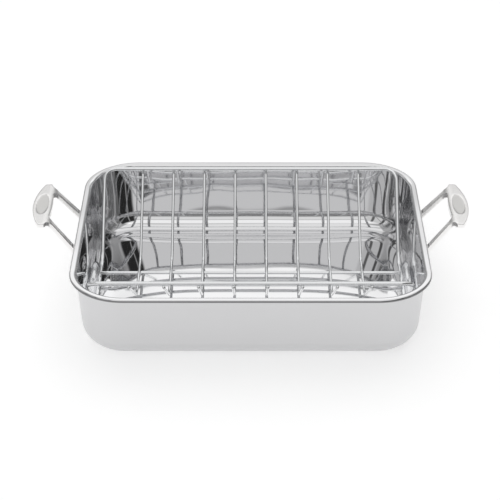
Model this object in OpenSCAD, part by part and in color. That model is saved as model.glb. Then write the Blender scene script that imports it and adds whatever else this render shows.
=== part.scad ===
// Stainless roasting pan with a lift-out wire rack.
// The origin is the middle of the pan's underside. +X runs towards the right handle, +Y to the back, +Z up.

/* [Pan] */
// Length of the pan's opening between its end walls, at the rim
opening_length = 400; // [340:1:460]
// Width of the pan's opening between its long walls, at the rim
opening_width = 314; // [270:1:360]
// Height of the rim above the underside
pan_height = 88; // [75:1:105]
// Thickness of the pan's sheet
sheet = 1.2; // [0.8:0.1:2]
// Lean of the walls from the vertical, in degrees
wall_draft = 3.7; // [1:0.1:7]
// Corner radius of the opening, seen from above
corner_r = 57; // [45:1:65]
// Radius inside the pan between its floor and its walls
floor_fillet_r = 24; // [16:0.5:28]

/* [Rim] */
// Width of the flat lip from the opening to its outer edge
lip_width = 8.5; // [7:0.5:12]
// Radius on top of the bend from the wall into the lip
lip_bend_r = 4; // [2.5:0.5:5]
// Radius of the lip's turned-down edge
lip_edge_r = 2.2; // [2.1:0.1:2.6]
// Height of the short skirt below the turned-down edge
lip_skirt = 0.8; // [0.4:0.1:1.5]

/* [Handles] */
// Distance between the two legs of a handle, centre to centre, where they pass the lip
leg_spacing = 81.6; // [70:0.2:100]
// Width of a leg, seen from above
leg_width = 8; // [6:0.5:11]
// Thickness of the cast handle
handle_thickness = 5.5; // [4:0.5:7]
// Slope of the legs above the horizontal, in degrees
leg_slope = 51; // [40:1:60]
// Turn of the legs towards each other, in degrees
leg_toe_in = 9.7; // [0:0.1:14]
// Height of the pad's inner edge above the rim
pad_rise = 31.5; // [24:0.5:47]
// Downward tilt of the pad towards its outer edge, in degrees
pad_tilt = 3; // [0:0.5:8]
// Depth of the pad from its inner edge to its outer edge
pad_depth = 23; // [19:0.5:30]
// Length of the pad, along the pan's end
pad_length = 97; // [90:1:120]
// Bulge of the pad's outer edge
pad_outer_bulge = 10; // [5:0.5:14]
// Bulge of the pad's inner edge
pad_inner_bulge = 4.5; // [2:0.5:8]
// Radius over the bend from a leg into the pad
pad_bend_r = 12; // [8:1:18]
// Radius in the corners between legs and pad
web_r = 7; // [3:0.5:10]
// Length of the oval recess in the pad
recess_length = 48; // [30:1:60]
// Width of the oval recess in the pad
recess_width = 15; // [8:0.5:17]
// Depth of the oval recess
recess_depth = 0.8; // [0.3:0.1:1.5]

/* [Feet and rivets] */
// Depth of the rivets below the rim
rivet_drop = 28; // [24:1:32]
// Distance between the two rivets of a foot
rivet_spacing = 13; // [11:0.5:18]
// Diameter of a rivet's shank
rivet_d = 5; // [4:0.1:6]
// Diameter of a rivet's head
rivet_head_d = 9; // [7.5:0.1:10.5]
// Height of a rivet's domed head
rivet_head_h = 1.8; // [1:0.1:2.5]
// Width of a foot, seen from above
foot_width = 27; // [25:0.5:34]
// Height of a foot's plate
foot_height = 25; // [20:0.5:28]
// Thickness of a foot's plate
foot_thickness = 4; // [2.5:0.5:6]

/* [Rack] */
// Depth of the rack from its long top wires to the flats of its end wires, centre to centre
rack_depth = 84; // [70:0.5:95]
// Diameter of the frame wire
frame_wire_d = 4.8; // [4:0.1:5.5]
// Diameter of the rails under the cross wires
rail_d = 4; // [3:0.1:5]
// Distance between the two rails
rail_spacing = 28; // [20:1:38]
// Diameter of a cross wire
cross_wire_d = 3.4; // [2.5:0.1:4]
// Bend radius of the frame at its four top corners
frame_corner_r = 15; // [10:1:20]
// Half the length of an end wire's flat
end_flat_half = 35; // [20:1:55]
// Bend radius of an end wire beside its flat
end_bend_r = 35; // [20:1:50]
// Half the length of a cross wire's flat
cross_flat_half = 33; // [20:1:50]
// Bend radius of a cross wire beside its flat
cross_bend_r = 30; // [20:1:50]
// Distance from an end wire to the cross wire next to it
cross_margin = 48.3; // [30:0.1:60]
// Number of cross wires
cross_count = 8; // [4:1:8]
// Length of a cross wire past the middle of the long top wire
cross_overrun = 1.5; // [0.5:0.1:2.5]

/* [Clearances] */
// Gap from the end walls at the rim to the middle of the rack's end wires
rack_end_gap = 14.5; // [13:0.5:20]
// Gap from the long walls at the rim to the middle of the rack's long top wires
rack_side_gap = 20; // [17:0.5:36]
// Gap between the rack's end wires and the pan
rest_gap = 0.3; // [0.2:0.05:0.6]
// Gap at a crossing of two wires, which a spot weld bridges
weld_gap = 0.2; // [0.1:0.05:0.4]
// Gap between a rivet's shank and its hole, on the radius
rivet_gap = 0.05; // [0.02:0.01:0.1]
// Gap between a leg and the edge of the lip
lip_gap = 0.8; // [0.4:0.1:1.5]

/* [Hidden] */

$fn = 64;
steel = [0.80, 0.81, 0.82];
cast_steel = [0.72, 0.71, 0.70];
chrome_wire = [0.86, 0.87, 0.88];

// Heights of the rivets and of the pad's inner edge above the pan's underside
rivet_height = pan_height - rivet_drop;
pad_height = pan_height + pad_rise;

// Places in the pan's wall section: x is measured from the middle of a corner's plan radius
wall_k = corner_r * cos(wall_draft) - pan_height * sin(wall_draft);
fillet_z = sheet + floor_fillet_r;
fillet_x = (wall_k - floor_fillet_r + fillet_z * sin(wall_draft)) / cos(wall_draft);
bend_z = pan_height - lip_bend_r;
bend_x = (wall_k + lip_bend_r + bend_z * sin(wall_draft)) / cos(wall_draft);
lip_x = corner_r + lip_width;
edge_inner_r = lip_edge_r - sheet;
skirt_z = pan_height - lip_edge_r - lip_skirt;
half_straight_x = opening_length / 2 - corner_r;
half_straight_y = opening_width / 2 - corner_r;

// A bend is this much thinner on each side than the straight lengths, and it laps into them by this
// length, so that they always join in one solid
bend_ease = 0.01;
bend_lap = 0.1;
function lap_angle(r) = bend_lap / r * 180 / PI;

// X of the end wall's outer face at height z
function end_wall_x(z) =
    opening_length / 2 - (pan_height - z) * tan(wall_draft) + sheet / cos(wall_draft);

// Places of the handle's side section
leg_start = [half_straight_x + lip_x + lip_gap * sin(leg_slope), skirt_z - lip_gap * cos(leg_slope)];
knee = [leg_start.x + (pad_height - leg_start.y) / tan(leg_slope), pad_height];
knee_turn = leg_slope + pad_tilt;
knee_tangent = pad_bend_r * tan(knee_turn / 2);
leg_dir = [cos(leg_slope), sin(leg_slope)];
knee_start = knee - knee_tangent * leg_dir;
knee_centre = knee_start + pad_bend_r * [sin(leg_slope), -cos(leg_slope)];
leg_run = (knee_start.x - end_wall_x(rivet_height)) / cos(leg_slope) + handle_thickness * 2;
pad_inner_x = knee.x - 1;
pad_outer_x = pad_inner_x + pad_depth;
leg_y = leg_spacing / 2;
foot_y = leg_y - 2;
recess_x = pad_inner_x + pad_depth / 2;

// Places of the rack: its end wires rest on the fillets at the foot of the end walls
end_x = opening_length / 2 - rack_end_gap;
rest_r = floor_fillet_r - frame_wire_d / 2 - rest_gap;
rest_x = max(0, end_x - half_straight_x - fillet_x);
end_z = fillet_z - sqrt(pow(rest_r, 2) - pow(rest_x, 2));
top_y = opening_width / 2 - rack_side_gap;
top_z = end_z + rack_depth;
rail_z = end_z + (frame_wire_d + rail_d) / 2 + weld_gap;
cross_z = rail_z + (rail_d + cross_wire_d) / 2 + weld_gap;
cross_drop = (frame_wire_d + cross_wire_d) / 2 + weld_gap;
cross_pitch = 2 * (end_x - cross_margin) / (cross_count - 1);

// Slope of a wing that leaves a bend of radius r and passes a point, which lies across and up from
// the bend's start, at the distance under it
function wing_slope(across, up, r, under) =
    atan2(up - r, across) + asin((r - under) / norm([across, up - r]));
// Length of that wing from the end of the bend to abreast of the point
function wing_length(across, up, r, slope) = across * cos(slope) + (up - r) * sin(slope);

end_slope = wing_slope(top_y - end_flat_half, rack_depth, end_bend_r, 0);
end_wing = wing_length(top_y - end_flat_half, rack_depth, end_bend_r, end_slope);
cross_slope = wing_slope(top_y - cross_flat_half, top_z - cross_z, cross_bend_r, cross_drop);
cross_wing = wing_length(top_y - cross_flat_half, top_z - cross_z, cross_bend_r, cross_slope);

// Bend between two straight strips: part of a flat ring that laps into both of them
module strip_bend(inner_r, outer_r, from, to) {
    first = from - lap_angle(outer_r);
    last = to + lap_angle(outer_r);
    middle = (first + last) / 2;
    reach = outer_r * 2;
    intersection() {
        difference() {
            circle(r = outer_r - bend_ease);
            circle(r = inner_r + bend_ease);
        }
        polygon([[0, 0], reach * [cos(first), sin(first)],
            reach * 2 * [cos(middle), sin(middle)], reach * [cos(last), sin(last)]]);
    }
}

// Section through floor, fillet, wall and lip
module wall_section() {
    wall_from = [fillet_x + floor_fillet_r * cos(wall_draft), fillet_z - floor_fillet_r * sin(wall_draft)];
    wall_to = [bend_x - lip_bend_r * cos(wall_draft), bend_z + lip_bend_r * sin(wall_draft)];
    square([fillet_x, sheet]);
    translate([fillet_x, fillet_z])
        strip_bend(floor_fillet_r, floor_fillet_r + sheet, -90, -wall_draft);
    translate(wall_from)
        rotate(-wall_draft)
            square([sheet, norm(wall_to - wall_from)]);
    translate([bend_x, bend_z])
        strip_bend(lip_bend_r - sheet, lip_bend_r, 90, 180 - wall_draft);
    translate([bend_x, pan_height - sheet])
        square([lip_x - lip_edge_r - bend_x, sheet]);
    translate([lip_x - lip_edge_r, pan_height - lip_edge_r])
        strip_bend(edge_inner_r, lip_edge_r, 0, 90);
    translate([lip_x - sheet, skirt_z])
        square([sheet, lip_skirt]);
}

// A straight length of wall, from the line between two corner centres outwards
module wall_run(length) {
    rotate([90, 0, 0])
        linear_extrude(length, center = true)
            wall_section();
}

// Puts its children on the outer face of an end wall, with their z axis along the outward normal
module on_end_wall(y, z) {
    translate([end_wall_x(z), y, z])
        rotate([0, 90 + wall_draft, 0])
            children();
}

// Puts its children at each rivet of the right handle, or at the one that is asked for
module at_rivets(which) {
    ys = [for (foot = [-1, 1], side = [-1, 1]) foot * foot_y + side * rivet_spacing / 2];
    for (i = which)
        on_end_wall(ys[i - 1], rivet_height)
            children();
}

module pan_body() {
    color(steel)
        difference() {
            union() {
                translate([-half_straight_x, -half_straight_y, 0])
                    cube([half_straight_x * 2, half_straight_y * 2, sheet]);
                for (turn = [0, 180])
                    rotate(turn) {
                        translate([half_straight_x, 0, 0])
                            wall_run(half_straight_y * 2);
                        translate([0, half_straight_y, 0])
                            rotate(90)
                                wall_run(half_straight_x * 2);
                        translate([half_straight_x, half_straight_y, 0])
                            rotate_extrude(angle = 90)
                                wall_section();
                        translate([-half_straight_x, half_straight_y, 0])
                            rotate(90)
                                rotate_extrude(angle = 90)
                                    wall_section();
                    }
            }
            for (side = [0, 1])
                mirror([side, 0, 0])
                    at_rivets([1:4])
                        translate([0, 0, -sheet * 2])
                            cylinder(r = rivet_d / 2 + rivet_gap, h = sheet * 3);
        }
}

// Outline of pad and legs, seen from above
module handle_outline() {
    half = pad_length / 2;
    outer_r = (pow(half, 2) + pow(pad_outer_bulge, 2)) / (2 * pad_outer_bulge);
    inner_r = (pow(half, 2) + pow(pad_inner_bulge, 2)) / (2 * pad_inner_bulge);
    leg_reach = (pad_inner_x + pad_inner_bulge + leg_width / 2 - leg_start.x) / cos(leg_toe_in);
    root = leg_start.x - end_wall_x(skirt_z) + sheet;
    offset(r = -web_r)
        offset(r = web_r + leg_width / 4)
            offset(r = -leg_width / 4)
                union() {
                    intersection() {
                        translate([pad_outer_x - outer_r, 0])
                            circle(r = outer_r, $fn = 180);
                        translate([pad_inner_x + inner_r, 0])
                            circle(r = inner_r, $fn = 180);
                        translate([pad_inner_x, -half])
                            square([pad_depth, pad_length]);
                    }
                    for (side = [-1, 1])
                        translate([leg_start.x, side * leg_y])
                            rotate(-side * leg_toe_in)
                                translate([-root * 2, -leg_width / 2])
                                    square([root * 2 + leg_reach, leg_width]);
                }
}

// Section along the handle, in which leg and pad are one bent band
module handle_band() {
    translate(knee_start)
        rotate(leg_slope)
            translate([-leg_run, -handle_thickness])
                square([leg_run, handle_thickness]);
    translate(knee_centre)
        strip_bend(pad_bend_r - handle_thickness, pad_bend_r, 90 - pad_tilt, 90 + leg_slope);
    translate(knee_centre)
        rotate(-pad_tilt)
            translate([0, pad_bend_r - handle_thickness])
                square([pad_depth * 1.5, handle_thickness]);
}

// Plate of a foot with round corners
module foot_plate() {
    r = foot_width / 4;
    linear_extrude(foot_thickness)
        union() {
            square([foot_height - 2 * r, foot_width], center = true);
            square([foot_height, foot_width - 2 * r], center = true);
            for (x = [-1, 1], y = [-1, 1])
                translate([x * (foot_height / 2 - r), y * (foot_width / 2 - r)])
                    circle(r = r);
        }
}

module right_handle() {
    color(cast_steel)
        difference() {
            union() {
                intersection() {
                    translate([0, 0, rivet_height])
                        linear_extrude(pad_height)
                            handle_outline();
                    rotate([90, 0, 0])
                        linear_extrude(pad_length * 2, center = true)
                            handle_band();
                }
                for (side = [-1, 1])
                    on_end_wall(side * foot_y, rivet_height)
                        foot_plate();
            }
            on_end_wall(0, rivet_height)
                translate([-pad_height, -pad_length, -pad_depth])
                    cube([pad_height * 2, pad_length * 2, pad_depth]);
            at_rivets([1:4])
                translate([0, 0, -sheet])
                    cylinder(r = rivet_d / 2 + rivet_gap, h = foot_thickness + 2 * sheet);
            translate([knee.x, 0, knee.y])
                rotate([0, pad_tilt, 0])
                    translate([recess_x - knee.x, 0, -recess_depth])
                        linear_extrude(recess_depth * 2)
                            polygon([for (a = [0:7.5:352.5])
                                [recess_width * cos(a), recess_length * sin(a)] / 2]);
        }
}

module left_handle() {
    color(cast_steel)
        mirror([1, 0, 0])
            right_handle();
}

// Rivet with a domed head inside the pan and another on the foot
module rivet() {
    dome_r = (pow(rivet_head_d / 2, 2) + pow(rivet_head_h, 2)) / (2 * rivet_head_h);
    grip = sheet + foot_thickness;
    rotate_extrude()
        union() {
            translate([0, -sheet])
                square([rivet_d / 2, grip]);
            translate([0, foot_thickness])
                intersection() {
                    translate([0, rivet_head_h - dome_r])
                        circle(r = dome_r);
                    square([rivet_head_d, rivet_head_h * 2]);
                }
            translate([0, -sheet])
                mirror([0, 1])
                    intersection() {
                        translate([0, rivet_head_h - dome_r])
                            circle(r = dome_r);
                        square([rivet_head_d, rivet_head_h * 2]);
                    }
        }
}

module right_rivet(i) {
    color(steel)
        at_rivets([i])
            rivet();
}

module left_rivet(i) {
    color(steel)
        mirror([1, 0, 0])
            right_rivet(i);
}

// Bend of a wire in the XY plane, from the +X axis through the angle, that laps into the straights
module wire_bend(bend_r, wire_d, angle) {
    rotate(-lap_angle(bend_r))
        rotate_extrude(angle = angle + 2 * lap_angle(bend_r))
            translate([bend_r, 0])
                circle(d = wire_d - 2 * bend_ease);
}

// Wire across the rack in its own YZ plane: a flat, two bends and two wings
module trough_wire(flat_half, bend_r, slope, wing, wire_d) {
    rotate([90, 0, 0])
        cylinder(d = wire_d, h = flat_half * 2, center = true);
    for (side = [0, 1])
        mirror([0, side, 0])
            translate([0, flat_half, bend_r]) {
                rotate([90, 0, 90])
                    rotate(-90)
                        wire_bend(bend_r, wire_d, slope);
                translate([0, bend_r * sin(slope), -bend_r * cos(slope)])
                    rotate([slope - 90, 0, 0])
                        cylinder(d = wire_d, h = wing);
            }
}

module rack_frame() {
    color(chrome_wire)
        union() {
            for (side = [-1, 1]) {
                translate([side * end_x, 0, end_z])
                    trough_wire(end_flat_half, end_bend_r, end_slope, end_wing - frame_corner_r, frame_wire_d);
                translate([0, side * top_y, top_z])
                    rotate([0, 90, 0])
                        cylinder(d = frame_wire_d, h = (end_x - frame_corner_r) * 2, center = true);
            }
            for (x = [0, 1], y = [0, 1])
                mirror([x, 0, 0])
                    mirror([0, y, 0])
                        translate([end_x - frame_corner_r, top_y, top_z])
                            rotate([end_slope, 0, 0])
                                translate([0, -frame_corner_r, 0])
                                    wire_bend(frame_corner_r, frame_wire_d, 90);
        }
}

// A rail from one end wire's flat to the other's
module rail_at(y) {
    translate([0, y, rail_z])
        rotate([0, 90, 0])
            cylinder(d = rail_d, h = end_x * 2, center = true);
}

module rack_rail() {
    color(chrome_wire)
        rail_at(rail_spacing / 2);
}

module front_rack_rail() {
    color(chrome_wire)
        rail_at(-rail_spacing / 2);
}

module cross_wire(i) {
    color(chrome_wire)
        translate([(i - (cross_count + 1) / 2) * cross_pitch, 0, cross_z])
            trough_wire(cross_flat_half, cross_bend_r, cross_slope, cross_wing + cross_overrun, cross_wire_d);
}

pan_body();
left_handle();
right_handle();
for (i = [1:4]) {
    left_rivet(i);
    right_rivet(i);
}
rack_frame();
rack_rail();
front_rack_rail();
for (i = [1:cross_count]) {
    cross_wire(i);
}
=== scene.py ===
import math
import bpy
import bmesh
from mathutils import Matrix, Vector


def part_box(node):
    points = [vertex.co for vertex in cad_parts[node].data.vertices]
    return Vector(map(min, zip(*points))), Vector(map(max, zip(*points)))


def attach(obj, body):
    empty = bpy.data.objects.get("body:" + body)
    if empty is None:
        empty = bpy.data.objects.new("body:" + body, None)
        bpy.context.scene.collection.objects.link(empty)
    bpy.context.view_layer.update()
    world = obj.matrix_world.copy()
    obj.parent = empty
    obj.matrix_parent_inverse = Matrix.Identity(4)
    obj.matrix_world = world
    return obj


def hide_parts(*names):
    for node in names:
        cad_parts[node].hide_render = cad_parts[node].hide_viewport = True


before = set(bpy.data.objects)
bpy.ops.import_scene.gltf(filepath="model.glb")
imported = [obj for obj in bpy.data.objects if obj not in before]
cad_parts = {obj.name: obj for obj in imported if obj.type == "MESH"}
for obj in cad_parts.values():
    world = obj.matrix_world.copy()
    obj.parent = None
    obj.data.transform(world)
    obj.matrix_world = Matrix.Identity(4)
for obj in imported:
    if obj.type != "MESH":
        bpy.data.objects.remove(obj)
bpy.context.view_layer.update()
print("frame loaded:", len(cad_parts), "nodes")

mm = 0.001


# Helpers for materials

def linearColor(hexValue):  # "#RRGGBB" in sRGB to a linear RGBA
    channels = [int(hexValue[i:i + 2], 16) / 255 for i in (1, 3, 5)]
    return [c / 12.92 if c <= 0.04045 else ((c + 0.055) / 1.055) ** 2.4 for c in channels] + [1.0]


def addNode(tree, kind, settings=None, links=None):  # a key is a property, or an input's name or number
    node = tree.nodes.new(kind)
    for key, value in (settings or {}).items():
        if isinstance(key, str) and key not in node.inputs:
            setattr(node, key, value)
        else:
            node.inputs[key].default_value = value
    for key, source in (links or {}).items():
        tree.links.new(source, node.inputs[key])
    return node


def newMaterial(name, look):  # look holds color, metallic and roughness, a mean where a pattern varies it
    material = bpy.data.materials.new(name)
    material.use_nodes = True
    tree = material.node_tree
    shader = tree.nodes["Principled BSDF"]
    shader.inputs["Base Color"].default_value = linearColor(look["color"])
    shader.inputs["Metallic"].default_value = look["metallic"]
    shader.inputs["Roughness"].default_value = look["roughness"]
    return material, tree, shader


def perMetre(size):  # texture scale for a pattern whose repeat is size millimetres
    return 1 / (size * mm)


# Materials

def makePolishedStainless():
    # 18/10 stainless sheet, drawn and mirror polished: clear reflections that wander a little,
    # because pressed sheet is never quite flat
    look = {
        "color": "#E2E2E3", "metallic": 1.0, "roughness": 0.04,
        "sheetWave": 75, "sheetWaveHeight": 0.8,
        "wallWave": 38, "wallWaveHeight": 0.3,  # on the walls alone, where the press stretched the sheet
        "drawMark": 14, "drawMarkHeight": 0.006, "drawMarkRise": 0.35,  # under 1: marks drawn out upward
        "haze": 30, "hazeLow": 0.03, "hazeHigh": 0.055,  # faint clouds in the polish
    }
    material, tree, shader = newMaterial("polishedStainless", look)
    place = addNode(tree, "ShaderNodeTexCoord").outputs["Object"]
    sheetWave = addNode(tree, "ShaderNodeTexNoise",
                        {"Scale": perMetre(look["sheetWave"]), "Detail": 0.0}, {"Vector": place})
    upward = addNode(tree, "ShaderNodeMapping", {"Scale": (1.0, 1.0, look["drawMarkRise"])},
                     {"Vector": place})
    drawMark = addNode(tree, "ShaderNodeTexNoise",
                       {"Scale": perMetre(look["drawMark"]), "Detail": 2.0},
                       {"Vector": upward.outputs["Vector"]})
    sheetBump = addNode(tree, "ShaderNodeBump",
                        {"Strength": 1.0, "Distance": look["sheetWaveHeight"] * mm},
                        {"Height": sheetWave.outputs["Fac"]})
    # the wall's waves fade out towards the floor and the lip, where the normal points up
    surface = addNode(tree, "ShaderNodeNewGeometry").outputs["Normal"]
    normalZ = addNode(tree, "ShaderNodeSeparateXYZ", links={"Vector": surface}).outputs["Z"]
    level = addNode(tree, "ShaderNodeMath", {"operation": "ABSOLUTE"}, {0: normalZ})
    onWall = addNode(tree, "ShaderNodeMath", {"operation": "SUBTRACT", 0: 1.0}, {1: level.outputs["Value"]})
    wallWave = addNode(tree, "ShaderNodeTexNoise",
                       {"Scale": perMetre(look["wallWave"]), "Detail": 0.0}, {"Vector": place})
    wallBump = addNode(tree, "ShaderNodeBump", {"Distance": look["wallWaveHeight"] * mm},
                       {"Strength": onWall.outputs["Value"], "Height": wallWave.outputs["Fac"],
                        "Normal": sheetBump.outputs["Normal"]})
    markBump = addNode(tree, "ShaderNodeBump",
                       {"Strength": 1.0, "Distance": look["drawMarkHeight"] * mm},
                       {"Height": drawMark.outputs["Fac"], "Normal": wallBump.outputs["Normal"]})
    haze = addNode(tree, "ShaderNodeTexNoise",
                   {"Scale": perMetre(look["haze"]), "Detail": 3.0}, {"Vector": place})
    rough = addNode(tree, "ShaderNodeMapRange",
                    {"To Min": look["hazeLow"], "To Max": look["hazeHigh"]},
                    {"Value": haze.outputs["Fac"]})
    tree.links.new(rough.outputs["Result"], shader.inputs["Roughness"])
    tree.links.new(markBump.outputs["Normal"], shader.inputs["Normal"])
    return material


def makeSatinStainless():
    # The outside of the same sheet, brushed along the pan and buffed: an even pale sheen
    # with faint lines, and no clear picture of the room
    look = {
        "color": "#D3D3D4", "metallic": 1.0, "roughness": 0.3,
        # real brush lines lie about 0.1 mm apart: these are coarser, so that they show
        "brushLine": 1.2, "brushHeight": 0.004, "brushLength": 60,
        "cloud": 45, "roughLow": 0.26, "roughHigh": 0.34,  # where the belt pressed more or less
    }
    material, tree, shader = newMaterial("satinStainless", look)
    place = addNode(tree, "ShaderNodeTexCoord").outputs["Object"]
    squeeze = look["brushLine"] / look["brushLength"]
    along = addNode(tree, "ShaderNodeMapping", {"Scale": (squeeze, squeeze, 1.0)}, {"Vector": place})
    lines = addNode(tree, "ShaderNodeTexNoise",
                    {"Scale": perMetre(look["brushLine"]), "Detail": 3.0},
                    {"Vector": along.outputs["Vector"]})
    cloud = addNode(tree, "ShaderNodeTexNoise",
                    {"Scale": perMetre(look["cloud"]), "Detail": 2.0}, {"Vector": place})
    rough = addNode(tree, "ShaderNodeMapRange",
                    {"To Min": look["roughLow"], "To Max": look["roughHigh"]},
                    {"Value": cloud.outputs["Fac"]})
    bump = addNode(tree, "ShaderNodeBump", {"Strength": 1.0, "Distance": look["brushHeight"] * mm},
                   {"Height": lines.outputs["Fac"]})
    tree.links.new(rough.outputs["Result"], shader.inputs["Roughness"])
    tree.links.new(bump.outputs["Normal"], shader.inputs["Normal"])
    return material


def makeTrimmedEdgeShade():
    # The lip's turned-down edge, trimmed and deburred but never polished: dull, and its dark colour is
    # partly painted shade, a painted shadow line round the rim.
    # The marks of the deburring are drawn coarser than real ones, so that they show
    look = {"color": "#868687", "metallic": 1.0, "roughness": 0.38, "burr": 2.0, "burrHeight": 0.01}
    material, tree, shader = newMaterial("trimmedEdgeShade", look)
    place = addNode(tree, "ShaderNodeTexCoord").outputs["Object"]
    burr = addNode(tree, "ShaderNodeTexNoise",
                   {"Scale": perMetre(look["burr"]), "Detail": 2.0}, {"Vector": place})
    bump = addNode(tree, "ShaderNodeBump", {"Strength": 1.0, "Distance": look["burrHeight"] * mm},
                   {"Height": burr.outputs["Fac"]})
    tree.links.new(bump.outputs["Normal"], shader.inputs["Normal"])
    return material


def makeCastStainless():
    # Investment-cast stainless, tumbled and polished: bright, with soft edges to every reflection
    look = {
        "color": "#F0EFEE", "metallic": 1.0, "roughness": 0.2,
        "skin": 3.5, "skinHeight": 0.02, "roughLow": 0.16, "roughHigh": 0.26, "patch": 12,
    }
    material, tree, shader = newMaterial("castStainless", look)
    place = addNode(tree, "ShaderNodeTexCoord").outputs["Object"]
    skin = addNode(tree, "ShaderNodeTexNoise",
                   {"Scale": perMetre(look["skin"]), "Detail": 3.0}, {"Vector": place})
    patch = addNode(tree, "ShaderNodeTexNoise",
                    {"Scale": perMetre(look["patch"]), "Detail": 2.0}, {"Vector": place})
    rough = addNode(tree, "ShaderNodeMapRange",
                    {"To Min": look["roughLow"], "To Max": look["roughHigh"]},
                    {"Value": patch.outputs["Fac"]})
    bump = addNode(tree, "ShaderNodeBump", {"Strength": 1.0, "Distance": look["skinHeight"] * mm},
                   {"Height": skin.outputs["Fac"]})
    tree.links.new(rough.outputs["Result"], shader.inputs["Roughness"])
    tree.links.new(bump.outputs["Normal"], shader.inputs["Normal"])
    return material


def makeBlastedShadedStainless():
    # The floor of the recess in each pad, left as the bead blasting made it: matt, and painted a little
    # darker, as painted shade in the recess.
    # The beads' dents are really about 0.1 mm wide, and are drawn coarser so that they show
    look = {"color": "#E2E1DF", "metallic": 1.0, "roughness": 0.38, "grit": 0.9, "gritHeight": 0.03}
    material, tree, shader = newMaterial("blastedShadedStainless", look)
    place = addNode(tree, "ShaderNodeTexCoord").outputs["Object"]
    grit = addNode(tree, "ShaderNodeTexNoise",
                   {"Scale": perMetre(look["grit"]), "Detail": 2.0}, {"Vector": place})
    bump = addNode(tree, "ShaderNodeBump", {"Strength": 1.0, "Distance": look["gritHeight"] * mm},
                   {"Height": grit.outputs["Fac"]})
    tree.links.new(bump.outputs["Normal"], shader.inputs["Normal"])
    return material


def makeTurnedStainless():
    # Headed stainless rivets, polished with the pan: small bright domes. The scratches of the
    # polishing are drawn coarser than real ones, so that they show
    look = {"color": "#DADADB", "metallic": 1.0, "roughness": 0.16, "scratch": 1.5, "scratchHeight": 0.006}
    material, tree, shader = newMaterial("turnedStainless", look)
    place = addNode(tree, "ShaderNodeTexCoord").outputs["Object"]
    scratch = addNode(tree, "ShaderNodeTexNoise",
                      {"Scale": perMetre(look["scratch"]), "Detail": 4.0}, {"Vector": place})
    bump = addNode(tree, "ShaderNodeBump", {"Strength": 1.0, "Distance": look["scratchHeight"] * mm},
                   {"Height": scratch.outputs["Fac"]})
    tree.links.new(bump.outputs["Normal"], shader.inputs["Normal"])
    return material


def makeChromedWire():
    # Drawn steel wire, bright chrome plated: a sharp highlight along each wire and dark flanks
    look = {
        "color": "#ECEDEE", "metallic": 1.0, "roughness": 0.05,
        "ripple": 6, "rippleHeight": 0.008, "roughLow": 0.03, "roughHigh": 0.07, "patch": 20,
    }
    material, tree, shader = newMaterial("chromedWire", look)
    place = addNode(tree, "ShaderNodeTexCoord").outputs["Object"]
    ripple = addNode(tree, "ShaderNodeTexNoise",
                     {"Scale": perMetre(look["ripple"]), "Detail": 2.0}, {"Vector": place})
    patch = addNode(tree, "ShaderNodeTexNoise",
                    {"Scale": perMetre(look["patch"]), "Detail": 2.0}, {"Vector": place})
    rough = addNode(tree, "ShaderNodeMapRange",
                    {"To Min": look["roughLow"], "To Max": look["roughHigh"]},
                    {"Value": patch.outputs["Fac"]})
    bump = addNode(tree, "ShaderNodeBump", {"Strength": 1.0, "Distance": look["rippleHeight"] * mm},
                   {"Height": ripple.outputs["Fac"]})
    tree.links.new(rough.outputs["Result"], shader.inputs["Roughness"])
    tree.links.new(bump.outputs["Normal"], shader.inputs["Normal"])
    return material


polishedStainless = makePolishedStainless()
satinStainless = makeSatinStainless()
trimmedEdgeShade = makeTrimmedEdgeShade()
castStainless = makeCastStainless()
blastedShadedStainless = makeBlastedShadedStainless()
turnedStainless = makeTurnedStainless()
chromedWire = makeChromedWire()
print("materials made")


# Helpers for meshes

def newPiece(name, points, faces, materials, slots=None, normals=None):
    mesh = bpy.data.meshes.new(name)
    mesh.from_pydata([tuple(p) for p in points], [], faces)
    for material in materials:
        mesh.materials.append(material)
    if slots:
        mesh.polygons.foreach_set("material_index", slots)
    mesh.polygons.foreach_set("use_smooth", [True] * len(mesh.polygons))
    mesh.update()
    if normals:
        mesh.normals_split_custom_set_from_vertices([tuple(n) for n in normals])
    piece = bpy.data.objects.new(name, mesh)
    bpy.context.scene.collection.objects.link(piece)
    return piece


def arcPoints(centre, radius, first, last, steps):  # (place, outward normal) along an arc, in degrees
    found = []
    for i in range(steps + 1):
        a = math.radians(first + (last - first) * i / steps)
        normal = Vector((math.cos(a), math.sin(a)))
        found.append((Vector(centre) + radius * normal, normal))
    return found


# Pan

panShape = {
    "sheet": 1.2, "draft": 3.7, "cornerRadius": 57, "floorFillet": 24,
    "lipWidth": 8.5, "lipBend": 4.0, "lipEdge": 2.2, "lipSkirt": 0.8,
    "floorCrown": 8.0, "crownPower": 4.0, "crownFade": 1.5,  # rise in the middle, and how flat it runs out
    # steps in the wall's section, inside and outside the sheet
    "filletSteps": 24, "wallSteps": 8, "bendSteps": 12, "outerBendSteps": 10,
    "edgeSteps": 10, "outerEdgeSteps": 8,
    "dullShadeSteps": 5,  # how many of the inside's last steps, down to the skirt's foot, are left unpolished and get the dark edge with its painted shadow line
    # steps round the pan, and rings between the fillet and the floor's straight part
    "cornerSteps": 28, "longSteps": 48, "shortSteps": 36, "floorRings": 6,
}


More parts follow.
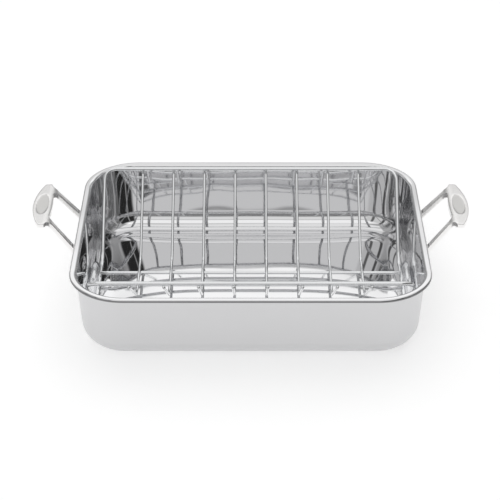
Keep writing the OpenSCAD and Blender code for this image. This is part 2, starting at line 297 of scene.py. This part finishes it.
def panPlaces():  # the places in the wall's section, worked out as the CAD part's are, in millimetres
    s = panShape
    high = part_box("pan_body")[1]
    p = {
        "height": high.z / mm,
        "halfLength": high.x / mm - s["lipWidth"],
        "halfWidth": high.y / mm - s["lipWidth"],
    }
    d = math.radians(s["draft"])
    # the wall's inner face is where x cos(d) - z sin(d) equals wallOffset
    wallOffset = s["cornerRadius"] * math.cos(d) - p["height"] * math.sin(d)
    p["filletZ"] = s["sheet"] + s["floorFillet"]
    p["filletX"] = (wallOffset - s["floorFillet"] + p["filletZ"] * math.sin(d)) / math.cos(d)
    p["bendZ"] = p["height"] - s["lipBend"]
    p["bendX"] = (wallOffset + s["lipBend"] + p["bendZ"] * math.sin(d)) / math.cos(d)
    p["lipX"] = s["cornerRadius"] + s["lipWidth"]
    p["edgeX"] = p["lipX"] - s["lipEdge"]
    p["edgeZ"] = p["height"] - s["lipEdge"]
    p["skirtZ"] = p["edgeZ"] - s["lipSkirt"]
    p["straightX"] = p["halfLength"] - s["cornerRadius"]
    p["straightY"] = p["halfWidth"] - s["cornerRadius"]
    return p


pan = panPlaces()


def endWallX(z):  # X of the end wall's outer face at height z, in millimetres
    d = math.radians(panShape["draft"])
    return pan["halfLength"] - (pan["height"] - z) * math.tan(d) + panShape["sheet"] / math.cos(d)


def insideSection():  # from the foot of the fillet up the wall and over the lip to the skirt's foot
    s, p = panShape, pan
    fillet = arcPoints((p["filletX"], p["filletZ"]), s["floorFillet"], -90, -s["draft"], s["filletSteps"])
    bend = arcPoints((p["bendX"], p["bendZ"]), s["lipBend"], 180 - s["draft"], 90, s["bendSteps"])
    edge = arcPoints((p["edgeX"], p["edgeZ"]), s["lipEdge"], 90, 0, s["edgeSteps"])
    line = [(place, -normal) for place, normal in fillet]
    foot, wallNormal = line[-1]
    line += [(foot.lerp(bend[0][0], i / s["wallSteps"]), wallNormal) for i in range(1, s["wallSteps"])]
    line += bend
    line.append((bend[-1][0].lerp(edge[0][0], 0.5), Vector((0, 1))))  # the middle of the flat lip
    line += edge
    line.append((Vector((p["lipX"], p["skirtZ"])), Vector((1, 0))))
    return line


def outsideSection():  # back from the skirt's inner foot, under the lip and down the wall to the underside
    s, p = panShape, pan
    t = s["sheet"]
    line = [(Vector((p["lipX"] - t, p["skirtZ"])), Vector((-1, 0)))]
    edge = arcPoints((p["edgeX"], p["edgeZ"]), s["lipEdge"] - t, 0, 90, s["outerEdgeSteps"])
    bend = arcPoints((p["bendX"], p["bendZ"]), s["lipBend"] - t, 90, 180 - s["draft"], s["outerBendSteps"])
    around = s["floorFillet"] + t
    fillet = arcPoints((p["filletX"], p["filletZ"]), around, -s["draft"], -90, s["filletSteps"])
    line += [(place, -normal) for place, normal in edge + bend]
    top = bend[-1][0]
    foot, wallNormal = fillet[0]
    line += [(top.lerp(foot, i / s["wallSteps"]), wallNormal) for i in range(1, s["wallSteps"])]
    line += fillet
    return line


def roundLoop():  # (corner centre, outward direction) round the pan, counter-clockwise from the right front
    s, p = panShape, pan
    loop = []
    hx, hy = p["straightX"], p["straightY"]
    sides = [  # from, to, outward direction in degrees, steps
        ((hx, -hy), (hx, hy), 0, s["shortSteps"]),
        ((hx, hy), (-hx, hy), 90, s["longSteps"]),
        ((-hx, hy), (-hx, -hy), 180, s["shortSteps"]),
        ((-hx, -hy), (hx, -hy), 270, s["longSteps"]),
    ]
    for start, end, turn, steps in sides:
        out = Vector((round(math.cos(math.radians(turn))), round(math.sin(math.radians(turn)))))
        loop += [(Vector(start).lerp(Vector(end), i / steps), out) for i in range(steps + 1)]
        for i in range(1, s["cornerSteps"]):
            a = math.radians(turn + 90 * i / s["cornerSteps"])
            loop.append((Vector(end), Vector((math.cos(a), math.sin(a)))))
    return loop


def crown(x, y):  # (height, slope along x, slope along y) of the floor's slight dome
    s, p = panShape, pan
    power, fade = s["crownPower"], s["crownFade"]
    reach = (p["straightX"] + p["filletX"], p["straightY"] + p["filletX"])
    rise, slope = [], []
    for place, limit in zip((x, y), reach):
        u = min(1, abs(place) / limit)
        rise.append((1 - u ** power) ** fade)
        fall = -fade * power * u ** (power - 1) * (1 - u ** power) ** (fade - 1) / limit
        slope.append(-fall if place < 0 else fall)
    height = s["floorCrown"]
    return height * rise[0] * rise[1], height * slope[0] * rise[1], height * slope[1] * rise[0]


def addFace(skin, corners, slot):
    skin["faces"].append(corners)
    skin["slots"].append(slot)


def addRing(skin, loop, r, z, normal):  # a ring round the pan, r out from the corners' centres, at height z
    first = len(skin["points"])
    for centre, out in loop:
        skin["points"].append(Vector((centre.x + r * out.x, centre.y + r * out.y, z)) * mm)
        skin["normals"].append(Vector((normal.x * out.x, normal.x * out.y, normal.y)).normalized())
    return first


def bridge(skin, count, a, b, slot):  # faces between the rings whose first points are a and b
    for i in range(count):
        j = (i + 1) % count
        addFace(skin, (a + i, a + j, b + j, b + i), slot)


def addFloorPoint(skin, x, y, z, side):
    height, slopeX, slopeY = crown(x, y)
    skin["points"].append(Vector((x, y, z + height)) * mm)
    skin["normals"].append((Vector((-slopeX, -slopeY, 1)) * side).normalized())


def addFloor(skin, loop, outer, z, side, slot):
    # closes a floor inside the ring whose first point is outer: it looks up where side is 1, down at -1
    count, rings = len(loop), panShape["floorRings"]
    previous = outer
    for k in range(1, rings):
        first = len(skin["points"])
        r = pan["filletX"] * (1 - k / rings)
        for centre, out in loop:
            addFloorPoint(skin, centre.x + r * out.x, centre.y + r * out.y, z, side)
        for i in range(count):
            j = (i + 1) % count
            quad = (previous + i, first + i, first + j, previous + j)
            addFace(skin, quad[::-side], slot)
        previous = first
    nx, ny = panShape["longSteps"], panShape["shortSteps"]
    hx, hy = pan["straightX"], pan["straightY"]
    grid = {}
    for i in range(nx + 1):
        for j in range(ny + 1):
            grid[i, j] = len(skin["points"])
            addFloorPoint(skin, hx * (2 * i / nx - 1), hy * (2 * j / ny - 1), z, side)
    for i in range(nx):
        for j in range(ny):
            quad = (grid[i, j], grid[i + 1, j], grid[i + 1, j + 1], grid[i, j + 1])
            addFace(skin, quad[::side], slot)
    border = [grid[round((centre.x / hx + 1) * nx / 2), round((centre.y / hy + 1) * ny / 2)]
              for centre, out in loop]
    for i in range(count):
        j = (i + 1) % count
        a, b = border[i], border[j]
        face = (previous + i, a, b, previous + j) if a != b else (previous + i, a, previous + j)
        addFace(skin, face[::-side], slot)


def makePan():  # a closed skin: the inside and its floor, the outside and the underside, and the rim's foot
    materials = [polishedStainless, satinStainless, trimmedEdgeShade]
    polished, satin, trimmedShade = range(3)
    loop = roundLoop()
    count = len(loop)
    skin = {"points": [], "normals": [], "faces": [], "slots": []}
    inside = [addRing(skin, loop, place.x, place.y, normal) for place, normal in insideSection()]
    # the inside's last steps and the rim's foot get the dull dark edge, whose dark colour is partly a
    # painted shadow line round the rim
    firstDullShade = len(inside) - 1 - panShape["dullShadeSteps"]
    for k, (a, b) in enumerate(zip(inside, inside[1:])):
        bridge(skin, count, b, a, trimmedShade if k >= firstDullShade else polished)
    outside = [addRing(skin, loop, place.x, place.y, normal) for place, normal in outsideSection()]
    for a, b in zip(outside, outside[1:]):
        bridge(skin, count, b, a, satin)
    rimOut = addRing(skin, loop, pan["lipX"], pan["skirtZ"], Vector((0, -1)))
    rimIn = addRing(skin, loop, pan["lipX"] - panShape["sheet"], pan["skirtZ"], Vector((0, -1)))
    bridge(skin, count, rimIn, rimOut, trimmedShade)
    addFloor(skin, loop, inside[0], panShape["sheet"], 1, polished)
    addFloor(skin, loop, outside[-1], 0, -1, satin)
    return newPiece("roastingPan", skin["points"], skin["faces"], materials, skin["slots"], skin["normals"])


panPiece = makePan()
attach(panPiece, "pan")
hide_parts("pan_body")
print("pan made:", len(panPiece.data.polygons), "faces")


# Handles

handleShape = {
    "merge": 0.0001, "voxel": 0.6, "smoothing": 6, "smoothFactor": 0.5,
    "wallBand": 0.5,  # nearer to the end wall than this, the feet stay as they are
    "padDepth": 23.0, "padBottom": 108.0, "recessLength": 48.0, "recessWidth": 15.0,
    "recessReach": 0.94,  # how far out in the oval its floor goes, squared, where 1 is the oval's edge
    "recessLevel": 0.6,  # how much a face of that floor looks up, as Z of its normal
}


def wornCasting(node, name):  # the casting's solid with its edges worn round, as tumbling leaves them
    s = handleShape
    rough = bpy.data.objects.new(name + "Rough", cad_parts[node].data.copy())
    bpy.context.scene.collection.objects.link(rough)
    bm = bmesh.new()
    bm.from_mesh(rough.data)
    bmesh.ops.remove_doubles(bm, verts=bm.verts, dist=s["merge"] * mm)
    bm.to_mesh(rough.data)
    bm.free()
    remesh = rough.modifiers.new("remesh", "REMESH")
    remesh.mode = "VOXEL"
    remesh.voxel_size = s["voxel"] * mm
    mesh = bpy.data.meshes.new_from_object(rough.evaluated_get(bpy.context.evaluated_depsgraph_get()))
    bpy.data.objects.remove(rough)
    piece = bpy.data.objects.new(name, mesh)
    bpy.context.scene.collection.objects.link(piece)
    free = piece.vertex_groups.new(name="free")
    for v in mesh.vertices:
        fromWall = abs(v.co.x) / mm - endWallX(v.co.z / mm)
        free.add([v.index], 0.0 if fromWall < s["wallBand"] else 1.0, "REPLACE")
    smooth = piece.modifiers.new("smooth", "SMOOTH")
    smooth.iterations = s["smoothing"]
    smooth.factor = s["smoothFactor"]
    smooth.vertex_group = "free"
    final = bpy.data.meshes.new_from_object(piece.evaluated_get(bpy.context.evaluated_depsgraph_get()))
    final.name = name
    piece.modifiers.clear()
    piece.vertex_groups.clear()
    piece.data = final
    final.polygons.foreach_set("use_smooth", [True] * len(final.polygons))
    return piece


def makeHandle(node, name):
    s = handleShape
    piece = wornCasting(node, name)
    mesh = piece.data
    mesh.materials.clear()
    for material in (castStainless, blastedShadedStainless):
        mesh.materials.append(material)
    low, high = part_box(node)
    middle = max(abs(low.x), abs(high.x)) / mm - s["padDepth"] / 2
    for face in mesh.polygons:  # the floor of the oval recess in the pad's top is the blasted one, painted darker as shade in the recess
        x, y, z = face.center / mm
        across, along = (abs(x) - middle) / (s["recessWidth"] / 2), y / (s["recessLength"] / 2)
        inOval = across ** 2 + along ** 2 < s["recessReach"]
        onFloor = z > s["padBottom"] and face.normal.z > s["recessLevel"]
        face.material_index = 1 if inOval and onFloor else 0
    return piece


for side in ("left", "right"):
    handle = makeHandle(side + "_handle", side + "Handle")
    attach(handle, "pan")
    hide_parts(side + "_handle")
    print(side, "handle made:", len(handle.data.polygons), "faces")


# Rivets

rivetShape = {
    "shank": 5.0, "headWidth": 9.0, "headHeight": 1.8, "rimHeight": 0.25, "footThickness": 4.0,
    "steps": 48, "domeSteps": 10, "sharpAngle": 40,
}


def rivetProfile():  # from the middle of the outer head to the middle of the inner head, (radius, height)
    s = rivetShape
    half, tall = s["headWidth"] / 2, s["headHeight"] - s["rimHeight"]
    domeRadius = (half ** 2 + tall ** 2) / (2 * tall)
    top = s["footThickness"] + s["headHeight"]
    bottom = -panShape["sheet"] - s["headHeight"]
    span = math.degrees(math.asin(half / domeRadius))
    upper = arcPoints((0, top - domeRadius), domeRadius, 90, 90 - span, s["domeSteps"])
    lower = arcPoints((0, bottom + domeRadius), domeRadius, -90 + span, -90, s["domeSteps"])
    seatHigh, seatLow = s["footThickness"], -panShape["sheet"]
    middle = [(half, seatHigh), (s["shank"] / 2, seatHigh), (s["shank"] / 2, seatLow), (half, seatLow)]
    seats = [(Vector(p), None) for p in middle]
    return [place for place, normal in upper + seats + lower]


def makeRivet(node, name):
    s = rivetShape
    low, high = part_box(node)
    centre = (low + high) / 2
    side = 1 if centre.x > 0 else -1
    d = math.radians(panShape["draft"])
    out = Vector((side * math.cos(d), 0, -math.sin(d)))
    base = centre - out * (s["footThickness"] - panShape["sheet"]) / 2 * mm
    across = Vector((0, 1, 0))
    up = out.cross(across)
    profile = rivetProfile()
    points, faces = [], []
    for k, p in enumerate(profile):
        if k in (0, len(profile) - 1):
            points.append(base + out * p.y * mm)
            continue
        for i in range(s["steps"]):
            a = 2 * math.pi * i / s["steps"]
            points.append(base + (out * p.y + (across * math.cos(a) + up * math.sin(a)) * p.x) * mm)
    n = s["steps"]

    def ring(k):
        return 1 + (k - 1) * n

    last = len(points) - 1
    for i in range(n):
        j = (i + 1) % n
        faces.append((0, ring(1) + j, ring(1) + i))
        for k in range(1, len(profile) - 2):
            faces.append((ring(k) + i, ring(k) + j, ring(k + 1) + j, ring(k + 1) + i))
        end = ring(len(profile) - 2)
        faces.append((last, end + i, end + j))
    piece = newPiece(name, points, faces, [turnedStainless])
    bm = bmesh.new()
    bm.from_mesh(piece.data)
    bmesh.ops.recalc_face_normals(bm, faces=bm.faces)
    bm.to_mesh(piece.data)
    bm.free()
    piece.data.set_sharp_from_angle(angle=math.radians(s["sharpAngle"]))
    return piece


for side in ("left", "right"):
    for number in (1, 2, 3, 4):
        node = f"{side}_rivet_{number}"
        rivet = makeRivet(node, f"{side}Rivet{number}")
        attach(rivet, "pan")
        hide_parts(node)
print("rivets made")


# Rack

rackShape = {
    "frameWire": 4.8, "rail": 4.0, "crossWire": 3.4,
    "cornerRadius": 15, "endFlatHalf": 35, "endBend": 35,
    "crossFlatHalf": 33, "crossBend": 30, "crossOverrun": 1.5,
    "weldGap": 0.2, "cutRounding": 0.35,
    "bendStep": 5, "cornerSteps": 12, "roundSteps": 20,  # degrees a step, then steps
    "spacing": 12,  # the longest stretch between two rings of a straight wire
    "sharpAngle": 50,
}


def troughLine(flatHalf, bend, acrossTo, upTo, under, beyond=0.0):
    # (y, z) along half a wire from its middle: a flat, a bend, and a wing that passes under the point
    across, up = acrossTo - flatHalf, upTo - bend
    slope = math.atan2(up, across) + math.asin((bend - under) / math.hypot(across, up))
    wing = across * math.cos(slope) + up * math.sin(slope) + beyond
    steps = math.ceil(math.degrees(slope) / rackShape["bendStep"])
    line = [Vector((0, 0))]
    turn = arcPoints((flatHalf, bend), bend, -90, -90 + math.degrees(slope), steps)
    line += [place for place, normal in turn]
    direction = Vector((math.cos(slope), math.sin(slope)))
    line.append(line[-1] + direction * wing)
    return line, direction


def spread(line):  # adds points to the long straights of a line
    found = [line[0]]
    for a, b in zip(line, line[1:]):
        parts = max(1, math.ceil((b - a).length / rackShape["spacing"]))
        found += [a.lerp(b, i / parts) for i in range(1, parts + 1)]
    return found


def wireRings(line, radius, closed):  # (centre, direction, side, radius, twist) of each ring
    count = len(line)
    tangents = []
    for i in range(count):
        before = line[i - 1] if closed or i else line[i]
        after = line[(i + 1) % count] if closed or i < count - 1 else line[i]
        tangents.append((after - before).normalized())
    normal = tangents[0].orthogonal().normalized()
    normals = [normal]
    for a, b in zip(tangents, tangents[1:]):
        normal = a.rotation_difference(b) @ normal
        normals.append((normal - b * normal.dot(b)).normalized())
    twist = 0.0
    if closed:  # shared out, so that the last ring meets the first
        back = tangents[-1].rotation_difference(tangents[0]) @ normals[-1]
        twist = math.atan2(back.cross(normals[0]).dot(tangents[0]), back.dot(normals[0]))
    rings = [(line[i], tangents[i], normals[i], radius, twist * i / count) for i in range(count)]
    if not closed:  # the rims of the cut ends are rounded
        trim = rackShape["cutRounding"]
        first, last = rings[0], rings[-1]
        rings[0] = (first[0] + first[1] * trim, *first[1:])
        rings[-1] = (last[0] - last[1] * trim, *last[1:])
        rings.insert(0, (first[0], first[1], first[2], radius - trim, 0.0))
        rings.append((last[0], last[1], last[2], radius - trim, 0.0))
    return rings


def makeWire(name, line, diameter, closed=False):  # a round wire along points in millimetres
    line = spread(line + [line[0]] if closed else line)
    if closed:
        line.pop()
    rings = wireRings(line, diameter / 2, closed)
    count, sides = len(rings), rackShape["roundSteps"]
    points, faces = [], []
    for centre, tangent, across, r, turn in rings:
        other = tangent.cross(across)
        for k in range(sides):
            a = 2 * math.pi * k / sides + turn
            points.append((centre + (across * math.cos(a) + other * math.sin(a)) * r) * mm)
    for i in range(count if closed else count - 1):
        j = (i + 1) % count
        for k in range(sides):
            m = (k + 1) % sides
            faces.append((i * sides + k, i * sides + m, j * sides + m, j * sides + k))
    if not closed:
        faces.append(tuple(range(sides))[::-1])
        faces.append(tuple(range((count - 1) * sides, count * sides)))
    piece = newPiece(name, points, faces, [chromedWire])
    piece.data.set_sharp_from_angle(angle=math.radians(rackShape["sharpAngle"]))
    return piece


def rackPlaces():  # where the middles of the rack's wires run, in millimetres
    s = rackShape
    low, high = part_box("rack_frame")
    half = s["frameWire"] / 2
    return {
        "endX": high.x / mm - half, "topY": high.y / mm - half, "topZ": high.z / mm - half,
        "endZ": low.z / mm + half, "crossZ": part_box("cross_wire_1")[0].z / mm + s["crossWire"] / 2,
    }


rack = rackPlaces()


def makeFrameLoop():
    s, r = rackShape, rack
    half, direction = troughLine(s["endFlatHalf"], s["endBend"], r["topY"], r["topZ"] - r["endZ"], 0)
    corner, steps = s["cornerRadius"], s["cornerSteps"]
    turns = [math.radians(90 * i / steps) for i in range(1, steps + 1)]
    half[-1] = half[-1] - direction * corner
    loop = []
    for sideX, sideY in ((1, -1), (1, 1), (-1, 1), (-1, -1)):
        wing = [Vector((sideX * r["endX"], sideY * p.x, r["endZ"] + p.y)) for p in half[1:]]
        out = Vector((0, sideY * direction.x, direction.y))
        centre = wing[-1] - Vector((sideX * corner, 0, 0))
        bend = [centre + Vector((sideX, 0, 0)) * corner * math.cos(a) + out * corner * math.sin(a)
                for a in turns]
        quarter = wing + bend
        loop += quarter[::-1] if sideX * sideY < 0 else quarter
    return makeWire("rackFrame", loop, s["frameWire"], closed=True)


def makeRackWires():
    s, r = rackShape, rack
    pieces = [(makeFrameLoop(), "rack_frame")]
    for node, name in (("rack_rail", "rackRail"), ("front_rack_rail", "frontRackRail")):
        low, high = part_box(node)
        y, z = (low.y + high.y) / 2 / mm, (low.z + high.z) / 2 / mm
        rail = [Vector((x / mm, y, z)) for x in (low.x, high.x)]
        pieces.append((makeWire(name, rail, s["rail"]), node))
    crossNodes = sorted(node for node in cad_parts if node.startswith("cross_wire_"))
    under = (s["frameWire"] + s["crossWire"]) / 2 + s["weldGap"]
    for node in crossNodes:
        low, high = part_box(node)
        x = (low.x + high.x) / 2 / mm
        half, direction = troughLine(s["crossFlatHalf"], s["crossBend"], r["topY"],
                                     r["topZ"] - r["crossZ"], under, s["crossOverrun"])
        right = [Vector((x, p.x, r["crossZ"] + p.y)) for p in half]
        left = [Vector((x, -p.x, r["crossZ"] + p.y)) for p in half[:0:-1]]
        pieces.append((makeWire("crossWire" + node.rsplit("_", 1)[1], left + right, s["crossWire"]), node))
    for piece, node in pieces:
        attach(piece, "rack")
        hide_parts(node)
    return pieces


rackPieces = makeRackWires()
print("rack made:", len(rackPieces), "wires")


# Floor, light and camera

stageLook = {
    "floorColor": "#EDEDED", "floorRoughness": 0.8, "glowColor": "#FFFFFF", "glow": 0.47,
    "floorSize": 30,  # metres from the middle to each edge
    "floorDrop": 0.2,  # millimetres under the pan
    "mirrorings": 24,  # how often light may bounce between the pan's polished walls
}


def makeFloor():  # white acrylic table, lit a little from below, as for a catalogue picture
    look = {"color": stageLook["floorColor"], "metallic": 0.0, "roughness": stageLook["floorRoughness"]}
    material, tree, shader = newMaterial("litTable", look)
    shader.inputs["Emission Color"].default_value = linearColor(stageLook["glowColor"])
    shader.inputs["Emission Strength"].default_value = stageLook["glow"]
    size, z = stageLook["floorSize"], -stageLook["floorDrop"] * mm
    floor = newPiece("floor", [(-size, -size, z), (size, -size, z), (size, size, z), (-size, size, z)],
                     [(0, 1, 2, 3)], [material])


studioLook = {
    # (degrees from the front horizon over the top to the back horizon, level)
    "arch": [
        (-4, 0.5), (8, 0.15), (18, 0.15), (21.5, 0.86), (38, 0.88), (40, 0.4), (41, 0.5), (42.5, 1.12),
        (60, 1.1), (68, 0.45), (120, 0.45), (130, 0.9), (140, 1.1), (147.5, 1.2), (149.5, 1.04),
        (151, 0.9), (153, 0.72), (158, 0.35), (184, 0.3),
    ],
    # level, the azimuths between which a flag fades in and out, in degrees from the front to the right,
    # and the elevations between which it ends; later flags hang in front of earlier ones
    "flags": [
        (0.03, 10, 20, 60, 70, 42, 52),
        (0.7, -10, -20, -68, -78, 40, 50),
        (0.16, 57, 66, 125, 140, 30, 42),
        (0.42, -72, -80, -125, -140, 26, 38),
        (0.35, 31, 32, 34, 35, 38, 44),
        (0.45, 71, 73, 76, 78, 30, 40),
        (0.15, -29, -32, -37, -40, 40, 50),
        (0.1, -60, -63, -68, -71, 40, 50),
        (0.12, -80, -83, -88, -92, 34, 44),
    ],
}


def directionAngles(tree):  # in degrees: over the arch from the front, round the pan, above the horizon
    direction = addNode(tree, "ShaderNodeTexCoord").outputs["Generated"]
    axes = addNode(tree, "ShaderNodeSeparateXYZ", links={"Vector": direction})
    toFront = addNode(tree, "ShaderNodeMath", {"operation": "MULTIPLY", 1: -1.0}, {0: axes.outputs["Y"]})
    front = toFront.outputs["Value"]
    angles = {}
    for name, operation, sides in (("over", "ARCTAN2", {0: axes.outputs["Z"], 1: front}),
                                   ("around", "ARCTAN2", {0: axes.outputs["X"], 1: front}),
                                   ("above", "ARCSINE", {0: axes.outputs["Z"]})):
        angle = addNode(tree, "ShaderNodeMath", {"operation": operation}, sides)
        turned = addNode(tree, "ShaderNodeMath", {"operation": "DEGREES"}, {0: angle.outputs["Value"]})
        angles[name] = turned.outputs["Value"]
    return angles


def hangArch(tree, over):  # the level of the white cloth, by the angle over it
    stops = studioLook["arch"]
    first, last = stops[0][0], stops[-1][0]
    brightest = max(level for angle, level in stops)
    along = addNode(tree, "ShaderNodeMapRange", {"From Min": first, "From Max": last}, {"Value": over})
    arch = addNode(tree, "ShaderNodeFloatCurve", links={"Value": along.outputs["Result"]})
    curve = arch.mapping.curves[0]
    while len(curve.points) < len(stops):
        curve.points.new(0.5, 0.5)
    for point, (angle, level) in zip(curve.points, stops):
        point.location = ((angle - first) / (last - first), level / brightest)
        point.handle_type = "VECTOR"
    arch.mapping.update()
    scaled = addNode(tree, "ShaderNodeMath", {"operation": "MULTIPLY", 1: brightest},
                     {0: arch.outputs["Value"]})
    return scaled.outputs["Value"]


def hangFlag(tree, angles, behind, flag):  # the level with this flag hung in front of what is behind it
    dark, start, full, fading, gone, top, clear = flag
    edges = (("around", start, full, 0.0, 1.0), ("around", fading, gone, 1.0, 0.0),
             ("above", top, clear, 1.0, 0.0))
    cover = None
    for name, begin, end, low, high in edges:
        fade = addNode(tree, "ShaderNodeMapRange",
                       {"From Min": begin, "From Max": end, "To Min": low, "To Max": high,
                        "interpolation_type": "SMOOTHSTEP"},
                       {"Value": angles[name]}).outputs["Result"]
        if cover:
            fade = addNode(tree, "ShaderNodeMath", {"operation": "MULTIPLY"},
                           {0: cover, 1: fade}).outputs["Value"]
        cover = fade
    return addNode(tree, "ShaderNodeMix", {"B": dark}, {"Factor": cover, "A": behind}).outputs["Result"]


def makeWorld():  # an arch of white cloth over the pan, with grey and black flags hung low round it
    world = bpy.data.worlds.new("studio")
    bpy.context.scene.world = world
    world.use_nodes = True
    tree = world.node_tree
    background = tree.nodes["Background"]
    background.inputs["Color"].default_value = linearColor("#FFFFFF")
    angles = directionAngles(tree)
    level = hangArch(tree, angles["over"])
    for flag in studioLook["flags"]:
        level = hangFlag(tree, angles, level, flag)
    tree.links.new(level, background.inputs["Strength"])


softboxLook = {"at": (0.1, 0.3, 2.4), "size": (3.0, 2.4), "power": 11}  # metres and watts


def makeSoftbox():  # hangs over the pan and faces its base
    light = bpy.data.lights.new("softboxAbove", "AREA")
    light.shape = "RECTANGLE"
    light.size, light.size_y = softboxLook["size"]
    light.energy = softboxLook["power"]
    softbox = bpy.data.objects.new("softboxAbove", light)
    softbox.location = softboxLook["at"]
    softbox.rotation_mode = "QUATERNION"
    softbox.rotation_quaternion = (-softbox.location).to_track_quat("-Z", "Y")
    bpy.context.scene.collection.objects.link(softbox)


cameraLook = {
    "down": 31.0, "distance": 1940, "aimHeight": 54.5,  # degrees, then millimetres
    "lens": 115.1, "sensor": 36.0, "shiftX": -0.0012,
    "nearest": 0.05, "farthest": 100,  # metres
}


def makeCamera():
    c = cameraLook
    view = bpy.data.cameras.new("camera")
    view.lens, view.sensor_width, view.shift_x = c["lens"], c["sensor"], c["shiftX"]
    view.clip_start, view.clip_end = c["nearest"], c["farthest"]
    camera = bpy.data.objects.new("camera", view)
    down = math.radians(c["down"])
    camera.location = Vector((0, -c["distance"] * math.cos(down),
                              c["aimHeight"] + c["distance"] * math.sin(down))) * mm
    camera.rotation_euler = (math.radians(90 - c["down"]), 0, 0)
    bpy.context.scene.collection.objects.link(camera)
    bpy.context.scene.camera = camera


makeFloor()
makeWorld()
makeSoftbox()
makeCamera()
bpy.context.scene.view_settings.view_transform = "Standard"
bpy.context.scene.cycles.max_bounces = stageLook["mirrorings"]
bpy.context.scene.cycles.glossy_bounces = stageLook["mirrorings"]
print("stage made")
